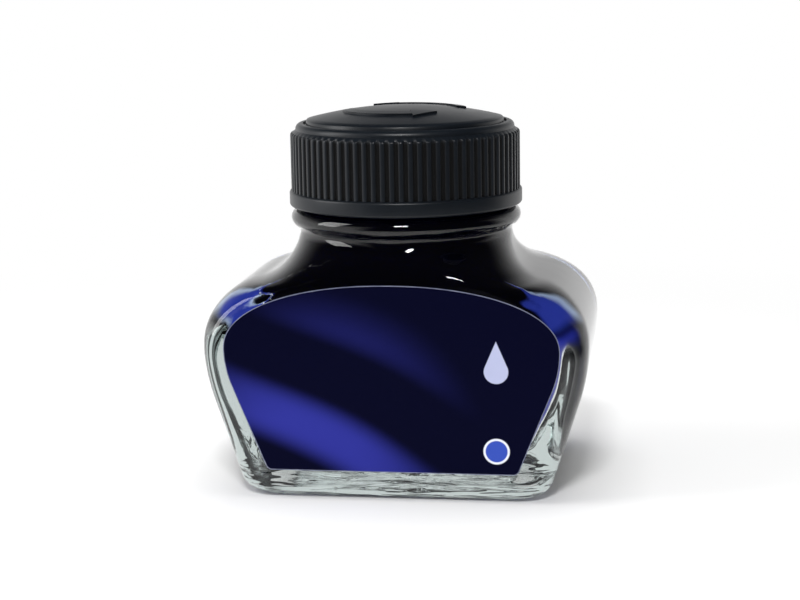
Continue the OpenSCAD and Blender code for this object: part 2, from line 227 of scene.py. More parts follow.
class Shell:
    """One wall of the bottle as level sections, each a rectangle with oval corners, round at the neck."""

    def __init__(self, half_w, half_d, hip_r, lean, floor_z, floor_r, shoulder_r, neck_r, flare_r, oval):
        self.half_w, self.half_d = half_w, half_d
        self.edge_foot, self.edge_arch, self.corner_d = oval
        self.hip_r, self.lean = hip_r, math.radians(lean)
        self.floor_r, self.foot_z = floor_r, floor_z + floor_r
        self.shoulder_r, self.neck_r, self.flare_r = shoulder_r, neck_r, flare_r
        self.arch_z = WIDEST_Z - ARCH_DROP
        self.hip_z = WIDEST_Z - hip_r * math.sin(self.lean)
        self.foot_x = self.side(self.foot_z) - floor_r / math.cos(self.lean)
        self.round_x = half_w - shoulder_r
        reach = shoulder_r + flare_r
        self.rise = math.asin((neck_r + flare_r - self.round_x) / reach)
        self.neck_z = WIDEST_Z + reach * math.cos(self.rise)
        self.panel_z = self.neck_z - PANEL_DROP
        self.panel_half = self.side(self.arch_z) - self.edge_arch

    def side(self, z):
        """Half width of the leaning side, up to the widest line."""
        centre = self.half_w - self.hip_r
        if z < self.hip_z:
            return centre + self.hip_r * math.cos(self.lean) - (self.hip_z - z) * math.tan(self.lean)
        return centre + math.sqrt(self.hip_r ** 2 - (WIDEST_Z - z) ** 2)

    def outline(self):
        """Half widths and heights from the foot to the neck."""
        lean, rise = math.degrees(self.lean), math.degrees(self.rise)
        lean_z = self.foot_z - self.floor_r * math.sin(self.lean)
        heights = np.linspace(lean_z, WIDEST_Z, 27)[1:-1]
        return [
            *arc((self.foot_x, self.foot_z), self.floor_r, -90, -lean, 10),
            *[(self.side(z), z) for z in heights],
            *arc((self.round_x, WIDEST_Z), self.shoulder_r, 0, 90 - rise, 20),
            *arc((self.neck_r + self.flare_r, self.neck_z), self.flare_r, 270 - rise, 180, 16)[1:],
        ]

    def depth(self, z):
        """Half depth at a height: the foot's round, the upright panel, then a soft step in to the neck."""
        if z < self.foot_z:
            drop = min(self.floor_r, self.foot_z - z)
            return self.half_d - self.floor_r + math.sqrt(self.floor_r ** 2 - drop ** 2)
        swing = math.pi * part_way(z, self.panel_z, self.neck_z)
        return mix(self.half_d, self.neck_r, (1 - math.cos(swing)) / 2)

    def flat(self, half_w, z):
        """Half width of the flat panel at a height: leaning edges, then an arch that closes at the neck."""
        if z <= self.arch_z:
            return half_w - mix(self.edge_foot, self.edge_arch, part_way(z, self.foot_z, self.arch_z))
        climb = part_way(min(z, self.panel_z), self.arch_z, self.panel_z + ARCH_OVER)
        arch = self.panel_half * (1 - climb ** ARCH_POWER) ** (1 / ARCH_POWER)
        return arch * (1 - part_way(z, self.panel_z, self.neck_z))

    def section(self, half_w, z, count):
        """A level ring of evenly spaced points."""
        deep, flat = self.depth(z), self.flat(half_w, z)
        share = 0 if z <= self.arch_z else 1 - flat / self.panel_half
        corner = mix(min(self.corner_d, deep), deep, share)
        turns = np.radians(np.linspace(0, 90, 25))
        oval = [(flat + (half_w - flat) * math.cos(t), deep - corner + corner * math.sin(t)) for t in turns]
        quarter = evenly([(half_w, 0), *oval, (0, deep)], count // 4)
        back = quarter[::-1]
        ring = [
            *quarter[:-1],
            *[(-x, y) for x, y in back[:-1]],
            *[(-x, -y) for x, y in quarter[:-1]],
            *[(x, -y) for x, y in back[:-1]],
        ]
        return [(x, y, z) for x, y in ring]

    def rings(self, count):
        return [self.section(x, z, count) for x, z in self.outline()]


outside = Shell(
    HALF_W, HALF_D, HIP_R, SIDE_LEAN, 0, FOOT_R, SHOULDER_R, NECK_R, FLARE_R, (EDGE_FOOT, EDGE_ARCH, CORNER_D)
)


def cavity(wet):
    """The inner wall of the glass, moved outwards into it by a wet depth."""
    side = WALL_SIDE - wet
    return Shell(
        HALF_W - side, HALF_D - WALL_PANEL + wet, HIP_R - side, INNER_LEAN, BASE_T - wet,
        INNER_FOOT_R, SHOULDER_R - side, BORE_R + wet, FLARE_R + WALL_PANEL,
        (EDGE_FOOT, EDGE_ARCH, CORNER_D),
    )


inside = cavity(0)
BEAD_Z = outside.neck_z + NECK_H + BEAD_R


# Meshes


def finished(name, bm, *materials):
    """Turns a bmesh into a smooth-shaded object in the scene, with its normals outwards."""
    bmesh.ops.recalc_face_normals(bm, faces=bm.faces)
    for face in bm.faces:
        face.smooth = True
    mesh = bpy.data.meshes.new(name)
    bm.to_mesh(mesh)
    bm.free()
    for material in materials:
        mesh.materials.append(material)
    piece = bpy.data.objects.new(name, mesh)
    bpy.context.scene.collection.objects.link(piece)
    return piece


def lofted(rings, second=None):
    """A closed skin over rings of points: one disc is extruded from each ring to the next.

    From the ring numbered second on, faces take the piece's second material.
    """
    bm = bmesh.new()
    bmesh.ops.create_circle(bm, cap_ends=True, segments=len(rings[0]), radius=1)
    bm.faces.ensure_lookup_table()
    disc = bm.faces[0]
    for level, ring in enumerate(rings):
        if level:
            disc = bmesh.ops.extrude_discrete_faces(bm, faces=[disc])["faces"][0]
        for vert, place in zip(disc.verts, ring):
            vert.co = Vector(place) * MM
        if second is not None and level >= second:
            for edge in disc.edges:
                for face in edge.link_faces:
                    face.material_index = 1
    rim = [edge for edge in bm.edges if edge.is_boundary]
    bmesh.ops.holes_fill(bm, edges=rim, sides=len(rim))
    return bm


def colour(hex_code):
    """Linear colour of an sRGB hex value."""
    parts = [int(hex_code[i:i + 2], 16) / 255 for i in (1, 3, 5)]
    return (*[c / 12.92 if c <= 0.04045 else ((c + 0.055) / 1.055) ** 2.4 for c in parts], 1)


def add(tree, kind, values=None, links=None, **settings):
    """Adds a node with its settings, its socket values and its links from other nodes' outputs."""
    node = tree.nodes.new(kind)
    for name, value in settings.items():
        setattr(node, name, value)
    for socket, value in (values or {}).items():
        node.inputs[socket].default_value = value
    for socket, output in (links or {}).items():
        tree.links.new(output, node.inputs[socket])
    return node


def new_material(name):
    """An empty node material and its tree."""
    material = bpy.data.materials.new(name)
    material.use_nodes = True
    material.node_tree.nodes.clear()
    return material, material.node_tree


# Materials


def soda_lime_glass():
    """Pressed soda-lime glass: water-clear, with a grey-green cast in depth.

    The mould leaves a faint swell all over, and level streaks in the foot and on the underside.
    """
    material, tree = new_material("soda_lime_glass")
    texture = add(tree, "ShaderNodeTexCoord")
    place = texture.outputs["Object"]
    swell_mm, streak_mm = 8, 2.5
    streak_squeeze = (0.15, 0.6, 1.5)
    foot_streaks, body_streaks = 0.34, 0.003
    swell = add(tree, "ShaderNodeTexNoise", {"Scale": 1 / (swell_mm * MM), "Detail": 1.0}, {"Vector": place})
    drawn = add(tree, "ShaderNodeMapping", {"Scale": streak_squeeze}, {"Vector": place})
    streak = add(
        tree, "ShaderNodeTexNoise", {"Scale": 1 / (streak_mm * MM), "Detail": 2.0, "Distortion": 0.6},
        {"Vector": drawn.outputs[0]},
    )
    height = add(tree, "ShaderNodeSeparateXYZ", links={"Vector": place})
    low = add(
        tree, "ShaderNodeMapRange",
        {"From Min": 1.5 * MM, "From Max": 8 * MM, "To Min": foot_streaks, "To Max": body_streaks},
        {"Value": height.outputs["Z"]}, interpolation_type="SMOOTHSTEP",
    )
    facing = add(tree, "ShaderNodeSeparateXYZ", links={"Vector": texture.outputs["Normal"]})
    under = add(
        tree, "ShaderNodeMapRange", {"From Min": -0.5, "From Max": -0.9}, {"Value": facing.outputs["Z"]}
    )
    wavy = add(tree, "ShaderNodeMath", links={0: low.outputs[0], 1: under.outputs[0]}, operation="MAXIMUM")
    smooth = add(
        tree, "ShaderNodeBump", {"Strength": 0.08, "Distance": 0.3 * MM}, {"Height": swell.outputs["Fac"]}
    )
    bump = add(
        tree, "ShaderNodeBump", {"Distance": 2.5 * MM},
        {"Strength": wavy.outputs[0], "Height": streak.outputs["Fac"], "Normal": smooth.outputs["Normal"]},
    )
    shader = add(
        tree, "ShaderNodeBsdfPrincipled",
        {"Base Color": colour("#fafcfb"), "Roughness": 0.008, "IOR": GLASS_IOR, "Transmission Weight": 1.0},
        {"Normal": bump.outputs["Normal"]},
    )
    tint = add(tree, "ShaderNodeVolumeAbsorption", {"Color": colour("#c8d3d2"), "Density": 35})
    add(
        tree, "ShaderNodeOutputMaterial",
        links={"Surface": shader.outputs[0], "Volume": tint.outputs[0]},
    )
    return material


def wetting_ink():
    """Blue dye ink behind glass: black in depth, with painted light along its edges, where light would come
    through.

    Under the shoulder, light in the glass that meets the ink at a glance is thrown back whole.
    """
    material, tree = new_material("wetting_ink")
    texture = add(tree, "ShaderNodeTexCoord")
    place = texture.outputs["Object"]
    off = add(tree, "ShaderNodeVectorMath", links={0: place}, operation="ABSOLUTE")
    off_axes = add(tree, "ShaderNodeSeparateXYZ", links={"Vector": off.outputs[0]})
    across, height = off_axes.outputs["X"], off_axes.outputs["Z"]
    facing = add(tree, "ShaderNodeVectorMath", links={0: texture.outputs["Normal"]}, operation="ABSOLUTE")
    forward = add(tree, "ShaderNodeSeparateXYZ", links={"Vector": facing.outputs[0]}).outputs["Y"]

    # The edges are where the ink turns from its front or back to its top or its sides, a little unevenly
    swirl_mm, uneven = 4, 0.2
    swirl = add(tree, "ShaderNodeTexNoise", {"Scale": 1 / (swirl_mm * MM), "Detail": 1.0}, {"Vector": place})
    shifted = add(
        tree, "ShaderNodeMath", {1: uneven, 2: -uneven / 2}, {0: swirl.outputs["Fac"]},
        operation="MULTIPLY_ADD",
    )
    turn = add(tree, "ShaderNodeMath", links={0: forward, 1: shifted.outputs[0]}, operation="ADD").outputs[0]

    # Each share grows from 0 to 1 as its value runs from the first number to the second
    shares = {}
    for name, value, first, second in (
        ("edge begun", turn, 0.08, 0.2),
        ("edge ended", turn, 0.9, 0.68),
        ("thin", turn, 0.36, 0.2),
        ("upright", forward, 0.3, 0.45),
        ("on shoulder", height, 23.8 * MM, 25.5 * MM),
        ("under shoulder", height, 24.5 * MM, 23 * MM),
        ("mirrors", height, 24 * MM, 21 * MM),
        ("far out", across, 15.5 * MM, 18 * MM),
    ):
        shares[name] = add(
            tree, "ShaderNodeMapRange", {"From Min": first, "From Max": second}, {"Value": value},
            interpolation_type="SMOOTHSTEP",
        ).outputs[0]
    glance = add(tree, "ShaderNodeFresnel", {"IOR": INK_IOR / GLASS_IOR})
    # Painted light: the edges on the shoulder and far out, and the upright edges under it, are painted lit
    # blue
    painted_edge_light, side = shares["edge begun"], shares["upright"]
    for name in ("edge ended", "on shoulder", "far out"):
        painted_edge_light = add(tree, "ShaderNodeMath", links={0: painted_edge_light, 1: shares[name]}, operation="MULTIPLY").outputs[0]
    for name in ("edge ended", "under shoulder"):
        side = add(tree, "ShaderNodeMath", links={0: side, 1: shares[name]}, operation="MULTIPLY").outputs[0]
    thrown = add(
        tree, "ShaderNodeMath", links={0: glance.outputs[0], 1: shares["mirrors"]}, operation="MULTIPLY"
    ).outputs[0]

    # The painted light: blue paling to pale blue at the thinnest edge, and blue on the upright edges over the
    # black depth
    through = add(
        tree, "ShaderNodeMix", {6: colour("#3444b8"), 7: colour("#c0d2f6")}, {0: shares["thin"]},
        data_type="RGBA",
    )
    deep = add(
        tree, "ShaderNodeMix", {6: colour("#020210"), 7: colour("#343ec0")}, {0: side}, data_type="RGBA"
    )
    blue = add(
        tree, "ShaderNodeMix", links={0: painted_edge_light, 6: deep.outputs[2], 7: through.outputs[2]}, data_type="RGBA"
    )
    mirror = add(
        tree, "ShaderNodeMix", {7: colour("#ffffff")}, {0: thrown, 6: blue.outputs[2]}, data_type="RGBA"
    )
    shader = add(
        tree, "ShaderNodeBsdfPrincipled", {"Roughness": 0.02, "Specular IOR Level": 0.0},
        {"Base Color": mirror.outputs[2], "Metallic": thrown},
    )
    add(tree, "ShaderNodeOutputMaterial", links={"Surface": shader.outputs[0]})
    return material


def ink_surface():
    """The free top of the ink: a dark liquid mirror with a trace of blue."""
    material, tree = new_material("ink_surface")
    place = add(tree, "ShaderNodeTexCoord").outputs["Object"]
    swirl_mm = 12
    swirl = add(tree, "ShaderNodeTexNoise", {"Scale": 1 / (swirl_mm * MM), "Detail": 2.0}, {"Vector": place})
    blue = add(
        tree, "ShaderNodeMix", {6: colour("#03031a"), 7: colour("#0b0c3c")}, {0: swirl.outputs["Fac"]},
        data_type="RGBA",
    )
    shader = add(
        tree, "ShaderNodeBsdfPrincipled", {"Roughness": 0.03, "IOR": INK_IOR}, {"Base Color": blue.outputs[2]}
    )
    add(tree, "ShaderNodeOutputMaterial", links={"Surface": shader.outputs[0]})
    return material


def moulded_cap_plastic():
    """Injection-moulded black polypropylene: satin, with fine tool grain, uneven gloss and painted shade at
    the rib roots.
    """
    material, tree = new_material("moulded_black_polypropylene")
    place = add(tree, "ShaderNodeTexCoord").outputs["Object"]
    grain_mm, cloud_mm = 0.35, 6
    grain = add(tree, "ShaderNodeTexNoise", {"Scale": 1 / (grain_mm * MM), "Detail": 2.0}, {"Vector": place})
    cloud = add(tree, "ShaderNodeTexNoise", {"Scale": 1 / (cloud_mm * MM), "Detail": 4.0}, {"Vector": place})
    shade = add(
        tree, "ShaderNodeMix", {6: colour("#090d12"), 7: colour("#12181f")}, {0: cloud.outputs["Fac"]},
        data_type="RGBA",
    )

    # Painted shade: little light gets down between the ribs, so their roots are painted near black, and rough
    level = add(tree, "ShaderNodeVectorMath", {1: (1.0, 1.0, 0.0)}, {0: place}, operation="MULTIPLY")
    radius = add(tree, "ShaderNodeVectorMath", links={0: level.outputs[0]}, operation="LENGTH")
    lit_r, dark_r = SKIRT_R + 0.85 * RIB_H, SKIRT_R + 0.35 * RIB_H
    painted_root_shade = add(
        tree, "ShaderNodeMapRange", {"From Min": lit_r * MM, "From Max": dark_r * MM},
        {"Value": radius.outputs["Value"]}, interpolation_type="SMOOTHSTEP",
    )
    height = add(tree, "ShaderNodeSeparateXYZ", links={"Vector": place})
    over_band = add(
        tree, "ShaderNodeMath", {1: BAND_TOP_Z * MM}, {0: height.outputs["Z"]}, operation="GREATER_THAN"
    )
    under_crown = add(
        tree, "ShaderNodeMapRange", {"From Min": RIB_TOP_Z * MM, "From Max": (RIB_TOP_Z - 0.5) * MM},
        {"Value": height.outputs["Z"]},
    )
    grip = add(
        tree, "ShaderNodeMath", links={0: over_band.outputs[0], 1: under_crown.outputs[0]},
        operation="MULTIPLY",
    )
    dark = add(tree, "ShaderNodeMath", links={0: painted_root_shade.outputs[0], 1: grip.outputs[0]}, operation="MULTIPLY")
    # The painted shade turns the rib roots near black
    plastic = add(
        tree, "ShaderNodeMix", {7: colour("#010102")}, {0: dark.outputs[0], 6: shade.outputs[2]},
        data_type="RGBA",
    )
    satin = add(tree, "ShaderNodeMapRange", {"To Min": 0.3, "To Max": 0.42}, {"Value": cloud.outputs["Fac"]})
    gloss = add(tree, "ShaderNodeMix", {3: 0.9}, {0: dark.outputs[0], 2: satin.outputs[0]})
    bump = add(
        tree, "ShaderNodeBump", {"Strength": 0.15, "Distance": 0.03 * MM}, {"Height": grain.outputs["Fac"]}
    )
    shader = add(
        tree, "ShaderNodeBsdfPrincipled", {"IOR": 1.49, "Specular IOR Level": 0.35},
        {"Base Color": plastic.outputs[2], "Roughness": gloss.outputs[0], "Normal": bump.outputs["Normal"]},
    )
    add(tree, "ShaderNodeOutputMaterial", links={"Surface": shader.outputs[0]})
    return material


def printed_film():
    """Printed polyester film in satin varnish: navy with soft blue waves, a pale drop and a colour dot."""
    material, tree = new_material("printed_label_film")
    metres = add(tree, "ShaderNodeTexCoord").outputs["Object"]
    place = add(tree, "ShaderNodeMapping", {"Scale": (1 / MM, 0.0, 1 / MM)}, {"Vector": metres}).outputs[0]
    axes = add(tree, "ShaderNodeSeparateXYZ", links={"Vector": place})

    # Soft waves that rise from the lower left and die out to the upper right: a wave texture at a scale of 1
    # has its crests one wave_unit apart
    wave_mm, wave_unit, wave_tilt = 17, 2 * math.pi / 20, 62
    tilted = add(
        tree, "ShaderNodeMapping", {"Rotation": (0.0, math.radians(wave_tilt), 0.0)}, {"Vector": place}
    )
    waves = add(
        tree, "ShaderNodeTexWave",
        {
            "Scale": wave_unit / wave_mm, "Distortion": 2.2, "Detail": 0.0, "Detail Scale": 1.2,
            "Phase Offset": 1.9,
        },
        {"Vector": tilted.outputs[0]},
    )
    crest = add(
        tree, "ShaderNodeMapRange", {"From Min": 0.35, "From Max": 1.0}, {"Value": waves.outputs["Fac"]},
        interpolation_type="SMOOTHSTEP",
    )
    glow_place, glow_end, glow_full = (-12, 0, 6), 27, 6
    away = add(tree, "ShaderNodeVectorMath", {1: glow_place}, {0: place}, operation="DISTANCE")
    fade = add(
        tree, "ShaderNodeMapRange", {"From Min": glow_end, "From Max": glow_full},
        {"Value": away.outputs["Value"]}, interpolation_type="SMOOTHSTEP",
    )
    glow = add(tree, "ShaderNodeMath", links={0: crest.outputs[0], 1: fade.outputs[0]}, operation="MULTIPLY")
    ground = add(
        tree, "ShaderNodeMix", {6: colour("#04051f"), 7: colour("#2e3290")}, {0: glow.outputs[0]},
        data_type="RGBA",
    )

    # The colour dot: a royal-blue disc in a white ring
    dot_place, ring_r, dot_r, soft_mm = (15.3, 0, 7.9), 1.9, 1.58, 0.06
    from_dot = add(tree, "ShaderNodeVectorMath", {1: dot_place}, {0: place}, operation="DISTANCE")
    in_ring = add(
        tree, "ShaderNodeMapRange", {"From Min": ring_r + soft_mm, "From Max": ring_r - soft_mm},
        {"Value": from_dot.outputs["Value"]},
    )
    in_dot = add(
        tree, "ShaderNodeMapRange", {"From Min": dot_r + soft_mm, "From Max": dot_r - soft_mm},
        {"Value": from_dot.outputs["Value"]},
    )

    # The drop: a disc with a point over it
    drop_x, drop_z, drop_r, drop_h = 15.3, 19.6, 1.75, 4.4
    point = math.asin(drop_r / drop_h)
    from_drop = add(
        tree, "ShaderNodeVectorMath", {1: (drop_x, 0.0, drop_z)}, {0: place}, operation="DISTANCE"
    )
    in_disc = add(
        tree, "ShaderNodeMapRange", {"From Min": drop_r + soft_mm, "From Max": drop_r - soft_mm},
        {"Value": from_drop.outputs["Value"]},
    )
    beside = add(tree, "ShaderNodeMath", {1: drop_x}, {0: axes.outputs["X"]}, operation="SUBTRACT")
    off = add(tree, "ShaderNodeMath", links={0: beside.outputs[0]}, operation="ABSOLUTE")
    slope = add(
        tree, "ShaderNodeMath", {1: -math.tan(point), 2: (drop_z + drop_h) * math.tan(point)},
        {0: axes.outputs["Z"]}, operation="MULTIPLY_ADD",
    )
    spare = add(tree, "ShaderNodeMath", links={0: slope.outputs[0], 1: off.outputs[0]}, operation="SUBTRACT")
    in_point = add(
        tree, "ShaderNodeMapRange", {"From Min": -soft_mm, "From Max": soft_mm}, {"Value": spare.outputs[0]}
    )
    over = add(
        tree, "ShaderNodeMath", {1: drop_z + drop_r * math.sin(point)}, {0: axes.outputs["Z"]},
        operation="GREATER_THAN",
    )
    tip = add(
        tree, "ShaderNodeMath", links={0: in_point.outputs[0], 1: over.outputs[0]}, operation="MULTIPLY"
    )
    drop = add(tree, "ShaderNodeMath", links={0: in_disc.outputs[0], 1: tip.outputs[0]}, operation="MAXIMUM")

    marked = add(
        tree, "ShaderNodeMix", {7: colour("#b4b9d8")}, {0: drop.outputs[0], 6: ground.outputs[2]},
        data_type="RGBA",
    )
    ringed = add(
        tree, "ShaderNodeMix", {7: colour("#e6e9f4")}, {0: in_ring.outputs[0], 6: marked.outputs[2]},
        data_type="RGBA",
    )
    print_colour = add(
        tree, "ShaderNodeMix", {7: colour("#3a52b4")}, {0: in_dot.outputs[0], 6: ringed.outputs[2]},
        data_type="RGBA",
    )
    grain_mm = 0.5
    grain = add(tree, "ShaderNodeTexNoise", {"Scale": 1 / (grain_mm * MM), "Detail": 2.0}, {"Vector": metres})
    bump = add(
        tree, "ShaderNodeBump", {"Strength": 0.1, "Distance": 0.02 * MM}, {"Height": grain.outputs["Fac"]}
    )
    shader = add(
        tree, "ShaderNodeBsdfPrincipled", {"Roughness": 0.45, "Specular IOR Level": 0.03},
        {"Base Color": print_colour.outputs[2], "Normal": bump.outputs["Normal"]},
    )
    add(tree, "ShaderNodeOutputMaterial", links={"Surface": shader.outputs[0]})
    return material


def film_edge_and_painted_highlight():
    """The film's cut edge and rim: a thin pale blue-grey line, a little uneven, and partly a painted
    highlight.
    """
    material, tree = new_material("film_edge_and_painted_highlight")
    place = add(tree, "ShaderNodeTexCoord").outputs["Object"]
    nick_mm = 1.5
    nick = add(tree, "ShaderNodeTexNoise", {"Scale": 1 / (nick_mm * MM), "Detail": 1.0}, {"Vector": place})
    # Painted highlight along the label's edge, over the film's own pale cut edge
    pale = add(
        tree, "ShaderNodeMix", {6: colour("#3c4160"), 7: colour("#8a8fa8")}, {0: nick.outputs["Fac"]},
        data_type="RGBA",
    )
    shader = add(tree, "ShaderNodeBsdfPrincipled", {"Roughness": 0.4}, {"Base Color": pale.outputs[2]})
    add(tree, "ShaderNodeOutputMaterial", links={"Surface": shader.outputs[0]})
    return material


def foamed_sheet():
    """Expanded polyethylene sheet: off-white, matt, with small closed cells."""
    material, tree = new_material("expanded_polyethylene")
    place = add(tree, "ShaderNodeTexCoord").outputs["Object"]
    cell_mm = 0.4
    cells = add(tree, "ShaderNodeTexVoronoi", {"Scale": 1 / (cell_mm * MM)}, {"Vector": place})
    shade = add(
        tree, "ShaderNodeMix", {6: colour("#d8d5cb"), 7: colour("#efede6")}, {0: cells.outputs["Distance"]},
        data_type="RGBA",
    )
    bump = add(
        tree, "ShaderNodeBump", {"Strength": 0.3, "Distance": 0.05 * MM},
        {"Height": cells.outputs["Distance"]},
    )
    shader = add(
        tree, "ShaderNodeBsdfPrincipled", {"Roughness": 0.8},
        {"Base Color": shade.outputs[2], "Normal": bump.outputs["Normal"]},
    )
    add(tree, "ShaderNodeOutputMaterial", links={"Surface": shader.outputs[0]})
    return material


def facing_film():
    """Clear polyester facing over the foam: glossy, with faint ink stains."""
    material, tree = new_material("polyester_facing")
    place = add(tree, "ShaderNodeTexCoord").outputs["Object"]
    stain_mm = 5
    stain = add(tree, "ShaderNodeTexNoise", {"Scale": 1 / (stain_mm * MM), "Detail": 4.0}, {"Vector": place})
    spread = add(
        tree, "ShaderNodeMapRange", {"From Min": 0.5, "From Max": 0.75}, {"Value": stain.outputs["Fac"]}
    )
    shade = add(
        tree, "ShaderNodeMix", {6: colour("#cfd4da"), 7: colour("#5358b4")}, {0: spread.outputs[0]},
        data_type="RGBA",
    )
    shader = add(tree, "ShaderNodeBsdfPrincipled", {"Roughness": 0.18}, {"Base Color": shade.outputs[2]})
    add(tree, "ShaderNodeOutputMaterial", links={"Surface": shader.outputs[0]})
    return material


# Pieces


def glass_bottle():
    """The bottle in one closed skin: dish, foot, body, neck, threads, lip, bore and cavity."""
    turns = even_turns(GLASS_RING)
    foot_deep = outside.depth(0)
    dish = []
    for t in np.linspace(90, 0, 7):
        inset = BEARING_W + CORNER_D / 2 * (1 - math.cos(math.radians(t)))
        shrink = (foot_deep - inset) / foot_deep
        low = outside.section(outside.foot_x - inset, 0, GLASS_RING)
        dish.append([(x, y * shrink, DISH_H * math.sin(math.radians(t))) for x, y, _ in low])
    bead = arc((NECK_R, BEAD_Z), BEAD_R, -90, 90, 20)
    thread_z = RIM_Z - GLASS_THREAD_DROP - THREAD_PITCH * GLASS_THREAD_TURNS
    finish = []
    for z in np.linspace(BEAD_Z + BEAD_R, RIM_Z - LIP_R, 48):
        rise = [thread_rise(t, z, thread_z, 0, GLASS_THREAD_TURNS, GLASS_THREAD_W) for t in turns]
        finish.append(round_ring(FINISH_R + np.array(rise), z, turns))
    lip = [
        *arc((FINISH_R - LIP_R, RIM_Z - LIP_R), LIP_R, 0, 90, 6)[1:],
        *arc((BORE_R + LIP_R, RIM_Z - LIP_R), LIP_R, 90, 180, 6),
    ]
    bore = [(BORE_R, z) for z in np.linspace(RIM_Z - LIP_R, inside.neck_z, 8)[1:-1]]
    rings = [
        *dish,
        *outside.rings(GLASS_RING),
        *[round_ring(r, z, turns) for r, z in bead],
        *finish,
        *[round_ring(r, z, turns) for r, z in lip + bore],
        *inside.rings(GLASS_RING)[::-1],
    ]
    return finished("glass", lofted(rings), soda_lime_glass())


def wall_width(shell, z):
    """Half width of a shell's outline at a height."""
    line = np.array(shell.outline())
    return float(np.interp(z, line[:, 1], line[:, 0]))


def ink_fill():
    """The ink, wet against the glass, with the film that it leaves in the neck and a meniscus at its top."""
    turns = even_turns(GLASS_RING)
    wet, film = cavity(INK_WET), cavity(-INK_FILM)
    top = ink_high.z
    neck = np.linspace(inside.neck_z, FILM_TOP_Z, 6)
    climb_z = top + MENISCUS_H
    outer = [
        *wet.rings(GLASS_RING),
        *[round_ring(BORE_R + INK_WET, z, turns) for z in neck[1:]],
    ]
    climb_w = wall_width(film, climb_z)
    inner = [
        *[round_ring(BORE_R - INK_FILM, z, turns) for z in neck[:0:-1]],
        *[film.section(x, z, GLASS_RING) for x, z in film.outline()[::-1] if z > climb_z],
    ]
    for inset, share in ((0, 1), (0.15, 0.62), (0.4, 0.32), (0.9, 0.1), (1.8, 0), (4, 0)):
        wide = (climb_w - inset) / climb_w
        deep = (film.depth(climb_z) - inset) / film.depth(climb_z)
        level = film.section(climb_w, climb_z, GLASS_RING)
        inner.append([(x * wide, y * deep, top + MENISCUS_H * share) for x, y, _ in level])
    return finished("ink", lofted(outer + inner, len(outer)), wetting_ink(), ink_surface())


def front_label():
    """The film label: an arched outline with rounded hips, extruded to the film's thickness."""
    half = label_high.x
    foot_z = outside.foot_z
    hip_z = outside.arch_z + LABEL_HIP
    foot_half = outside.side(foot_z) - EDGE_FOOT - LABEL_SIDE
    across = LABEL_HIP_R - half + foot_half
    slant = math.asin(LABEL_HIP_R / math.hypot(hip_z - foot_z, across)) - math.atan2(across, hip_z - foot_z)
    lean = math.degrees(slant)
    corner_z = label_low.z + LABEL_CORNER_R
    corner_x = foot_half + (corner_z - foot_z) * math.tan(slant) - LABEL_CORNER_R / math.cos(slant)
    right = arc((corner_x, corner_z), LABEL_CORNER_R, -90, -lean, 6)
    right += arc((half - LABEL_HIP_R, hip_z), LABEL_HIP_R, -lean, -lean / 12, 11)
    rise = label_high.z - hip_z
    for t in np.radians(np.linspace(0, 90, 41)):
        climb = math.sin(t)
        right.append((half * max(0, 1 - climb ** ARCH_POWER) ** (1 / ARCH_POWER), hip_z + rise * climb))
    line = right + [(-x, z) for x, z in right[-2::-1]]
    bm = bmesh.new()
    verts = [bm.verts.new(Vector((x, label_high.y, z)) * MM) for x, z in line]
    face = bmesh.ops.contextual_create(bm, geom=verts)["faces"][0]
    front = bmesh.ops.extrude_discrete_faces(bm, faces=[face])["faces"][0]
    bmesh.ops.translate(bm, verts=front.verts, vec=Vector((0, label_low.y - label_high.y, 0)) * MM)
    bmesh.ops.inset_individual(bm, faces=[front], thickness=LABEL_RIM * MM)
    rim = [edge for edge in bm.edges if edge.is_boundary]
    bmesh.ops.holes_fill(bm, edges=rim, sides=len(rim))
    for side in bm.faces:
        # The rim and the sides take the edge material, with its painted highlight
        side.material_index = 1 if len(side.verts) == 4 else 0
    piece = finished("label", bm, printed_film(), film_edge_and_painted_highlight())
    for polygon in piece.data.polygons:
        polygon.use_smooth = False
    return piece


def dome_height(radius, rise):
    """Height of the cap's dome, or of a like dome over or under it, at a radius."""
    ball_r = (DOME_R ** 2 + DOME_H ** 2) / (2 * DOME_H)
    return APEX_Z - ball_r + math.sqrt((ball_r + rise) ** 2 - radius ** 2)


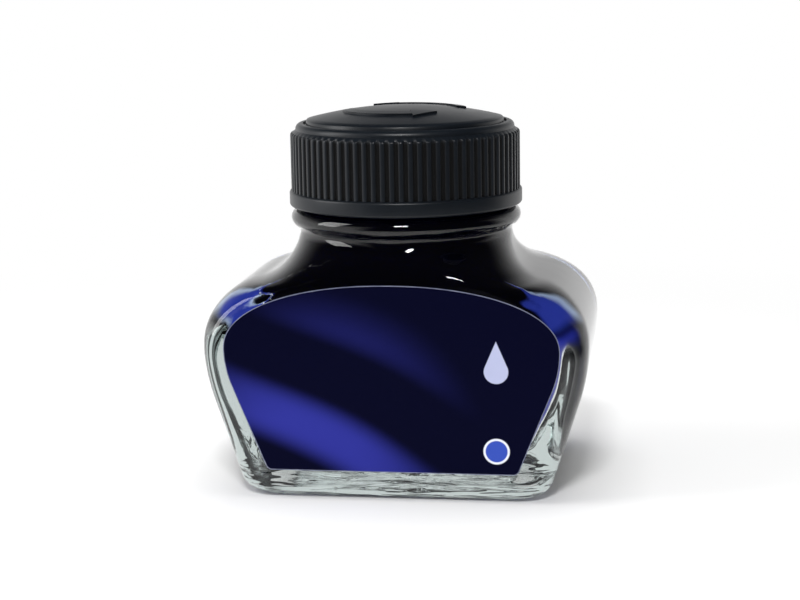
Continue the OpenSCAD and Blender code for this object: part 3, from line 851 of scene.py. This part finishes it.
def screw_cap():
    """The cap in one closed skin, from the middle of its inside, round its lower edge, to its top."""
    hub_r = 0.2
    seat_r = BORE_R - SEAT_REACH
    keeper_z = RIM_Z - KEEPER_GAP
    keeper_r = CAP_INNER_R - WAD_CLEAR - KEEPER_REACH
    room = [
        *[(r, dome_height(r, -CAP_TOP_T)) for r in np.linspace(hub_r, seat_r, 6)],
        (seat_r, CEILING_Z), (CAP_INNER_R, CEILING_Z), (CAP_INNER_R, keeper_z),
        (keeper_r, keeper_z), (keeper_r, keeper_z - KEEPER_H / 2), (CAP_INNER_R, keeper_z - KEEPER_H),
    ]
    glass_thread_z = RIM_Z - GLASS_THREAD_DROP - THREAD_PITCH * GLASS_THREAD_TURNS
    reach = (THREAD_H + THREAD_CLEAR) * math.tan(math.radians(THREAD_FLANK))
    shift = GLASS_THREAD_W / 2 + CAP_THREAD_W / 2 - reach + THREAD_PLAY
    lead = 0.5
    start_turn = max(0, 360 * (CAP_Z + CAP_THREAD_W / 2 + lead - glass_thread_z + shift) / THREAD_PITCH)
    start_z = glass_thread_z - shift + THREAD_PITCH * start_turn / 360
    wall = []
    for z in np.linspace(keeper_z - KEEPER_H - 0.1, CAP_Z + lead, 36):
        rise = [thread_rise(t, z, start_z, start_turn, CAP_THREAD_TURNS, CAP_THREAD_W) for t in CAP_TURNS]
        wall.append(round_ring(CAP_INNER_R - np.array(rise), z, CAP_TURNS))
    band = [
        (CAP_INNER_R + lead, CAP_Z),
        *arc((BAND_R - BAND_ROUND, CAP_Z + BAND_ROUND), BAND_ROUND, -90, 0, 5),
        *arc((BAND_R - BAND_ROUND, BAND_TOP_Z - BAND_ROUND), BAND_ROUND, 0, 90, 5),
    ]
    ribs = np.array([height for _, height in RIB_SHAPE] * RIB_COUNT)
    rib_end = 0.4
    grip = []
    for z, grown in (
        (BAND_TOP_Z, 1), (BAND_TOP_Z + 1, 1), (RIB_TOP_Z - 1, 1), (RIB_TOP_Z - rib_end, 1),
        (RIB_TOP_Z - rib_end / 2, 0.9), (RIB_TOP_Z - rib_end / 6, 0.6), (RIB_TOP_Z, 0),
    ):
        grip.append(round_ring(SKIRT_R + RIB_H * grown * ribs, z, CAP_TURNS))
    edge = 0.15
    crown = [
        (CROWN_R, RIB_TOP_Z + LEDGE_W / 2),
        *arc((CROWN_R - CROWN_ROUND, RING_Z - CROWN_ROUND), CROWN_ROUND, 0, 90, 8),
        (DOME_R + GROOVE_W, RING_Z), (DOME_R + GROOVE_W, RING_Z - GROOVE_H),
        (DOME_R, RING_Z - GROOVE_H), (DOME_R, DOME_EDGE_Z - edge),
        *[(r, dome_height(r, 0)) for r in np.linspace(DOME_R - edge, hub_r, 14)],
    ]
    rings = [
        *[round_ring(r, z, CAP_TURNS) for r, z in room],
        *wall,
        *[round_ring(r, z, CAP_TURNS) for r, z in band],
        *grip,
        *[round_ring(r, z, CAP_TURNS) for r, z in crown],
    ]
    piece = finished("cap", lofted(rings), moulded_cap_plastic())
    piece.data.set_sharp_from_angle(angle=math.radians(40))
    return piece


def turn_arrows():
    """Two raised arrows on the dome that show which way the cap opens."""
    barb = ARROW_HEAD * ARROW_W / 2
    bm = bmesh.new()
    tail = [bm.verts.new((ARROW_R + side * ARROW_W / 2, 0, 0)) for side in (-1, 1)]
    end = bm.edges.new(tail)
    bmesh.ops.rotate(bm, verts=tail, matrix=Matrix.Rotation(math.radians(ARROW_TAIL), 3, "Z"))
    bmesh.ops.spin(
        bm, geom=[*tail, end], axis=(0, 0, 1), angle=math.radians(ARROW_NECK - ARROW_TAIL), steps=24
    )
    head = [
        bm.verts.new((*arc((0, 0), radius, turn, turn, 0)[0], 0))
        for radius, turn in (
            (ARROW_R + barb, ARROW_NECK), (ARROW_R, ARROW_POINT), (ARROW_R - barb, ARROW_NECK)
        )
    ]
    barbs = bmesh.ops.contextual_create(bm, geom=head)["faces"][0]
    bmesh.ops.subdivide_edges(bm, edges=barbs.edges[:], cuts=3, use_grid_fill=True)
    bmesh.ops.spin(
        bm, geom=bm.faces[:], axis=(0, 0, 1), angle=math.pi, steps=1, use_duplicate=True
    )
    raised = bmesh.ops.extrude_face_region(bm, geom=bm.faces[:], use_keep_orig=True)["geom"]
    tops = {item for item in raised if isinstance(item, bmesh.types.BMVert)}
    for vert in bm.verts:
        vert.co.z = dome_height(vert.co.xy.length, ARROW_H if vert in tops else -ARROW_H)
    bmesh.ops.scale(bm, vec=(MM, MM, MM), verts=bm.verts)
    piece = finished("turn_arrows", bm, moulded_cap_plastic())
    piece.data.set_sharp_from_angle(angle=math.radians(40))
    return piece


def disc(name, low, high, edge, material):
    """A flat round disc with softened edges."""
    radius = high.x
    hub_r = 0.1
    line = [
        (hub_r, low.z), *arc((radius - edge, low.z + edge), edge, -90, 0, 4),
        *arc((radius - edge, high.z - edge), edge, 0, 90, 4), (hub_r, high.z),
    ]
    return finished(name, lofted([round_ring(r, z, even_turns(96)) for r, z in line]), material)


glass = glass_bottle()
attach(glass, "bottle")
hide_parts("glass_bottle")

ink = ink_fill()
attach(ink, "bottle")
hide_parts("ink_fill")

label = front_label()
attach(label, "bottle")
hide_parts("front_label")

cap = screw_cap()
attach(cap, "cap")
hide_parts("screw_cap")

arrows = turn_arrows()
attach(arrows, "cap")

wad = disc("wad", wad_low, wad_high, 0.2, foamed_sheet())
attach(wad, "liner")
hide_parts("liner_wad")

facing = disc("facing", facing_low, facing_high, 0.05, facing_film())
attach(facing, "liner")
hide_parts("liner_facing")


# Camera

# The lens is worked out from how many pixels of the 800 wide picture one radian fills, and the distance from
# the size of a pixel at the bottle.
PICTURE_W, PICTURE_H = 800, 600
SENSOR_W = 36
PIXELS_PER_RADIAN = 1800
PIXEL_MM = 0.1525
AIM_Z = 30.5
AIM_PIXEL = (407.3, 272.1)
VIEW_AZIMUTH, VIEW_ELEVATION, VIEW_ROLL = 8.4, 10.1, 0.95


def photo_camera():
    """A camera at the photograph's viewing angle."""
    data = bpy.data.cameras.new("camera")
    data.sensor_width = SENSOR_W
    data.lens = SENSOR_W * PIXELS_PER_RADIAN / PICTURE_W
    data.shift_x = (PICTURE_W / 2 - AIM_PIXEL[0]) / PICTURE_W
    data.shift_y = (AIM_PIXEL[1] - PICTURE_H / 2) / PICTURE_W
    data.clip_start = 10 * MM
    camera = bpy.data.objects.new("camera", data)
    bpy.context.scene.collection.objects.link(camera)
    a, e = math.radians(VIEW_AZIMUTH), math.radians(VIEW_ELEVATION)
    back = Vector((math.sin(a) * math.cos(e), -math.cos(a) * math.cos(e), math.sin(e)))
    camera.location = Vector((0, 0, AIM_Z * MM)) + back * PIXELS_PER_RADIAN * PIXEL_MM * MM
    camera.rotation_mode = "QUATERNION"
    roll = Quaternion((0, 0, 1), -math.radians(VIEW_ROLL))
    camera.rotation_quaternion = (-back).to_track_quat("-Z", "Y") @ roll
    bpy.context.scene.camera = camera


photo_camera()


# Studio

# Where the dark flag stands, in front and at the right, and the shade that it and the ceiling show in gloss
FLAG_SIDE = (0.6, -0.8, 0.0)
FLAG_SHADE = "#262626"


def seen_rays(tree):
    """1 for what is seen directly, in gloss or through glass, and 0 for light that falls on things."""
    path = add(tree, "ShaderNodeLightPath")
    gloss = add(
        tree, "ShaderNodeMath",
        links={0: path.outputs["Is Camera Ray"], 1: path.outputs["Is Glossy Ray"]}, operation="MAXIMUM",
    )
    return add(
        tree, "ShaderNodeMath",
        links={0: gloss.outputs[0], 1: path.outputs["Is Transmission Ray"]}, operation="MAXIMUM",
    ).outputs[0]


def outer_gloss(tree):
    """1 for what the outside of things mirrors, and 0 for all else, such as what glass lets through."""
    path = add(tree, "ShaderNodeLightPath")
    return add(
        tree, "ShaderNodeMath",
        links={0: path.outputs["Is Glossy Ray"], 1: path.outputs["Is Transmission Ray"]},
        operation="SUBTRACT", use_clamp=True,
    ).outputs[0]


def dark_flag(tree, direction):
    """How far a direction runs into the dark flag, which is set up to keep the glass black."""
    ahead = add(tree, "ShaderNodeVectorMath", links={0: direction}, operation="NORMALIZE")
    towards = add(
        tree, "ShaderNodeVectorMath", {1: FLAG_SIDE}, {0: ahead.outputs[0]}, operation="DOT_PRODUCT"
    )
    return add(
        tree, "ShaderNodeMapRange", {"From Min": 0.0, "From Max": 0.5}, {"Value": towards.outputs["Value"]},
        interpolation_type="SMOOTHSTEP",
    ).outputs[0]


def studio_world():
    """White where it is seen, and a soft even light where it falls.

    Gloss also mirrors a dark ceiling and a flag, and glass shows the ceiling dark overhead.
    """
    world = bpy.data.worlds.new("studio")
    bpy.context.scene.world = world
    world.use_nodes = True
    tree = world.node_tree
    tree.nodes.clear()
    direction = add(tree, "ShaderNodeTexCoord").outputs["Generated"]
    axes = add(tree, "ShaderNodeSeparateXYZ", links={"Vector": direction})
    ceiling = add(
        tree, "ShaderNodeMapRange", {"From Min": 0.05, "From Max": 0.65}, {"Value": axes.outputs["Z"]},
        interpolation_type="SMOOTHSTEP",
    )
    shaded = add(
        tree, "ShaderNodeMath", links={0: ceiling.outputs[0], 1: dark_flag(tree, direction)},
        operation="MAXIMUM",
    )
    mirrored = add(
        tree, "ShaderNodeMath", links={0: shaded.outputs[0], 1: outer_gloss(tree)}, operation="MULTIPLY"
    )
    path = add(tree, "ShaderNodeLightPath")
    overhead = add(
        tree, "ShaderNodeMapRange", {"From Min": 0.2, "From Max": 0.5}, {"Value": axes.outputs["Z"]},
        interpolation_type="SMOOTHSTEP",
    )
    through = add(
        tree, "ShaderNodeMath", links={0: overhead.outputs[0], 1: path.outputs["Is Transmission Ray"]},
        operation="MULTIPLY",
    )
    dark = add(
        tree, "ShaderNodeMath", links={0: mirrored.outputs[0], 1: through.outputs[0]}, operation="MAXIMUM"
    )
    shade = add(
        tree, "ShaderNodeMix", {6: colour("#ffffff"), 7: colour(FLAG_SHADE)}, {0: dark.outputs[0]},
        data_type="RGBA",
    )
    light = add(tree, "ShaderNodeBackground", {"Color": colour("#ffffff"), "Strength": 0.45})
    white = add(tree, "ShaderNodeBackground", {"Strength": 1.0}, {"Color": shade.outputs[2]})
    both = add(
        tree, "ShaderNodeMixShader", links={0: seen_rays(tree), 1: light.outputs[0], 2: white.outputs[0]}
    )
    add(tree, "ShaderNodeOutputWorld", links={"Surface": both.outputs[0]})


def studio_floor():
    """A pale floor that keeps the shadow near the bottle and runs out to plain white."""
    floor_r = 6000
    bm = bmesh.new()
    bmesh.ops.create_circle(bm, cap_ends=True, segments=64, radius=floor_r * MM)
    floor = finished("floor", bm)
    material, tree = new_material("pale_floor")
    place = add(tree, "ShaderNodeTexCoord").outputs["Object"]
    far = add(tree, "ShaderNodeVectorMath", links={0: place}, operation="LENGTH")
    fade = add(
        tree, "ShaderNodeMapRange", {"From Min": 60 * MM, "From Max": 200 * MM},
        {"Value": far.outputs["Value"]}, interpolation_type="SMOOTHSTEP",
    )
    plain = add(tree, "ShaderNodeMath", links={0: fade.outputs[0], 1: seen_rays(tree)}, operation="MULTIPLY")

    # Seen through the glass, the floor is dark only under the bottle
    round_foot = add(
        tree, "ShaderNodeMapRange", {"From Min": 8 * MM, "From Max": 24 * MM},
        {"Value": far.outputs["Value"]}, interpolation_type="SMOOTHSTEP",
    )
    path = add(tree, "ShaderNodeLightPath")
    through = add(
        tree, "ShaderNodeMath", links={0: round_foot.outputs[0], 1: path.outputs["Is Transmission Ray"]},
        operation="MULTIPLY",
    )
    share = add(
        tree, "ShaderNodeMath", links={0: plain.outputs[0], 1: through.outputs[0]}, operation="MAXIMUM"
    )
    paper = add(tree, "ShaderNodeBsdfDiffuse", {"Color": colour("#f2f2f2")})
    white = add(tree, "ShaderNodeEmission", {"Color": colour("#ffffff"), "Strength": 1.0})
    both = add(
        tree, "ShaderNodeMixShader", links={0: share.outputs[0], 1: paper.outputs[0], 2: white.outputs[0]}
    )
    far_flag = add(
        tree, "ShaderNodeMath", links={0: dark_flag(tree, place), 1: fade.outputs[0]}, operation="MULTIPLY"
    )
    flag = add(
        tree, "ShaderNodeMath", links={0: far_flag.outputs[0], 1: outer_gloss(tree)}, operation="MULTIPLY"
    )
    black = add(tree, "ShaderNodeEmission", {"Color": colour(FLAG_SHADE), "Strength": 1.0})
    shaded = add(
        tree, "ShaderNodeMixShader", links={0: flag.outputs[0], 1: both.outputs[0], 2: black.outputs[0]}
    )
    add(tree, "ShaderNodeOutputMaterial", links={"Surface": shaded.outputs[0]})
    floor.data.materials.append(material)


def softbox(name, place, aim, width, height, watts, in_gloss=True):
    """A soft rectangular lamp that faces a point, seen in glossy things or kept out of them."""
    data = bpy.data.lights.new(name, "AREA")
    data.shape = "RECTANGLE"
    data.size, data.size_y = width * MM, height * MM
    data.energy = watts
    lamp = bpy.data.objects.new(name, data)
    bpy.context.scene.collection.objects.link(lamp)
    lamp.location = Vector(place) * MM
    lamp.rotation_mode = "QUATERNION"
    lamp.rotation_quaternion = (Vector(aim) - Vector(place)).to_track_quat("-Z", "Y")
    lamp.visible_glossy = in_gloss


studio_world()
studio_floor()
softbox("key", place=(14, -380, 420), aim=(0, 0, 35), width=100, height=80, watts=1.5)
softbox("window", place=(-480, -120, 260), aim=(0, 0, 35), width=240, height=420, watts=1.4)
softbox("top", place=(0, 60, 480), aim=(0, 0, 30), width=300, height=300, watts=0.9, in_gloss=False)

scene = bpy.context.scene
scene.view_settings.view_transform = "Standard"
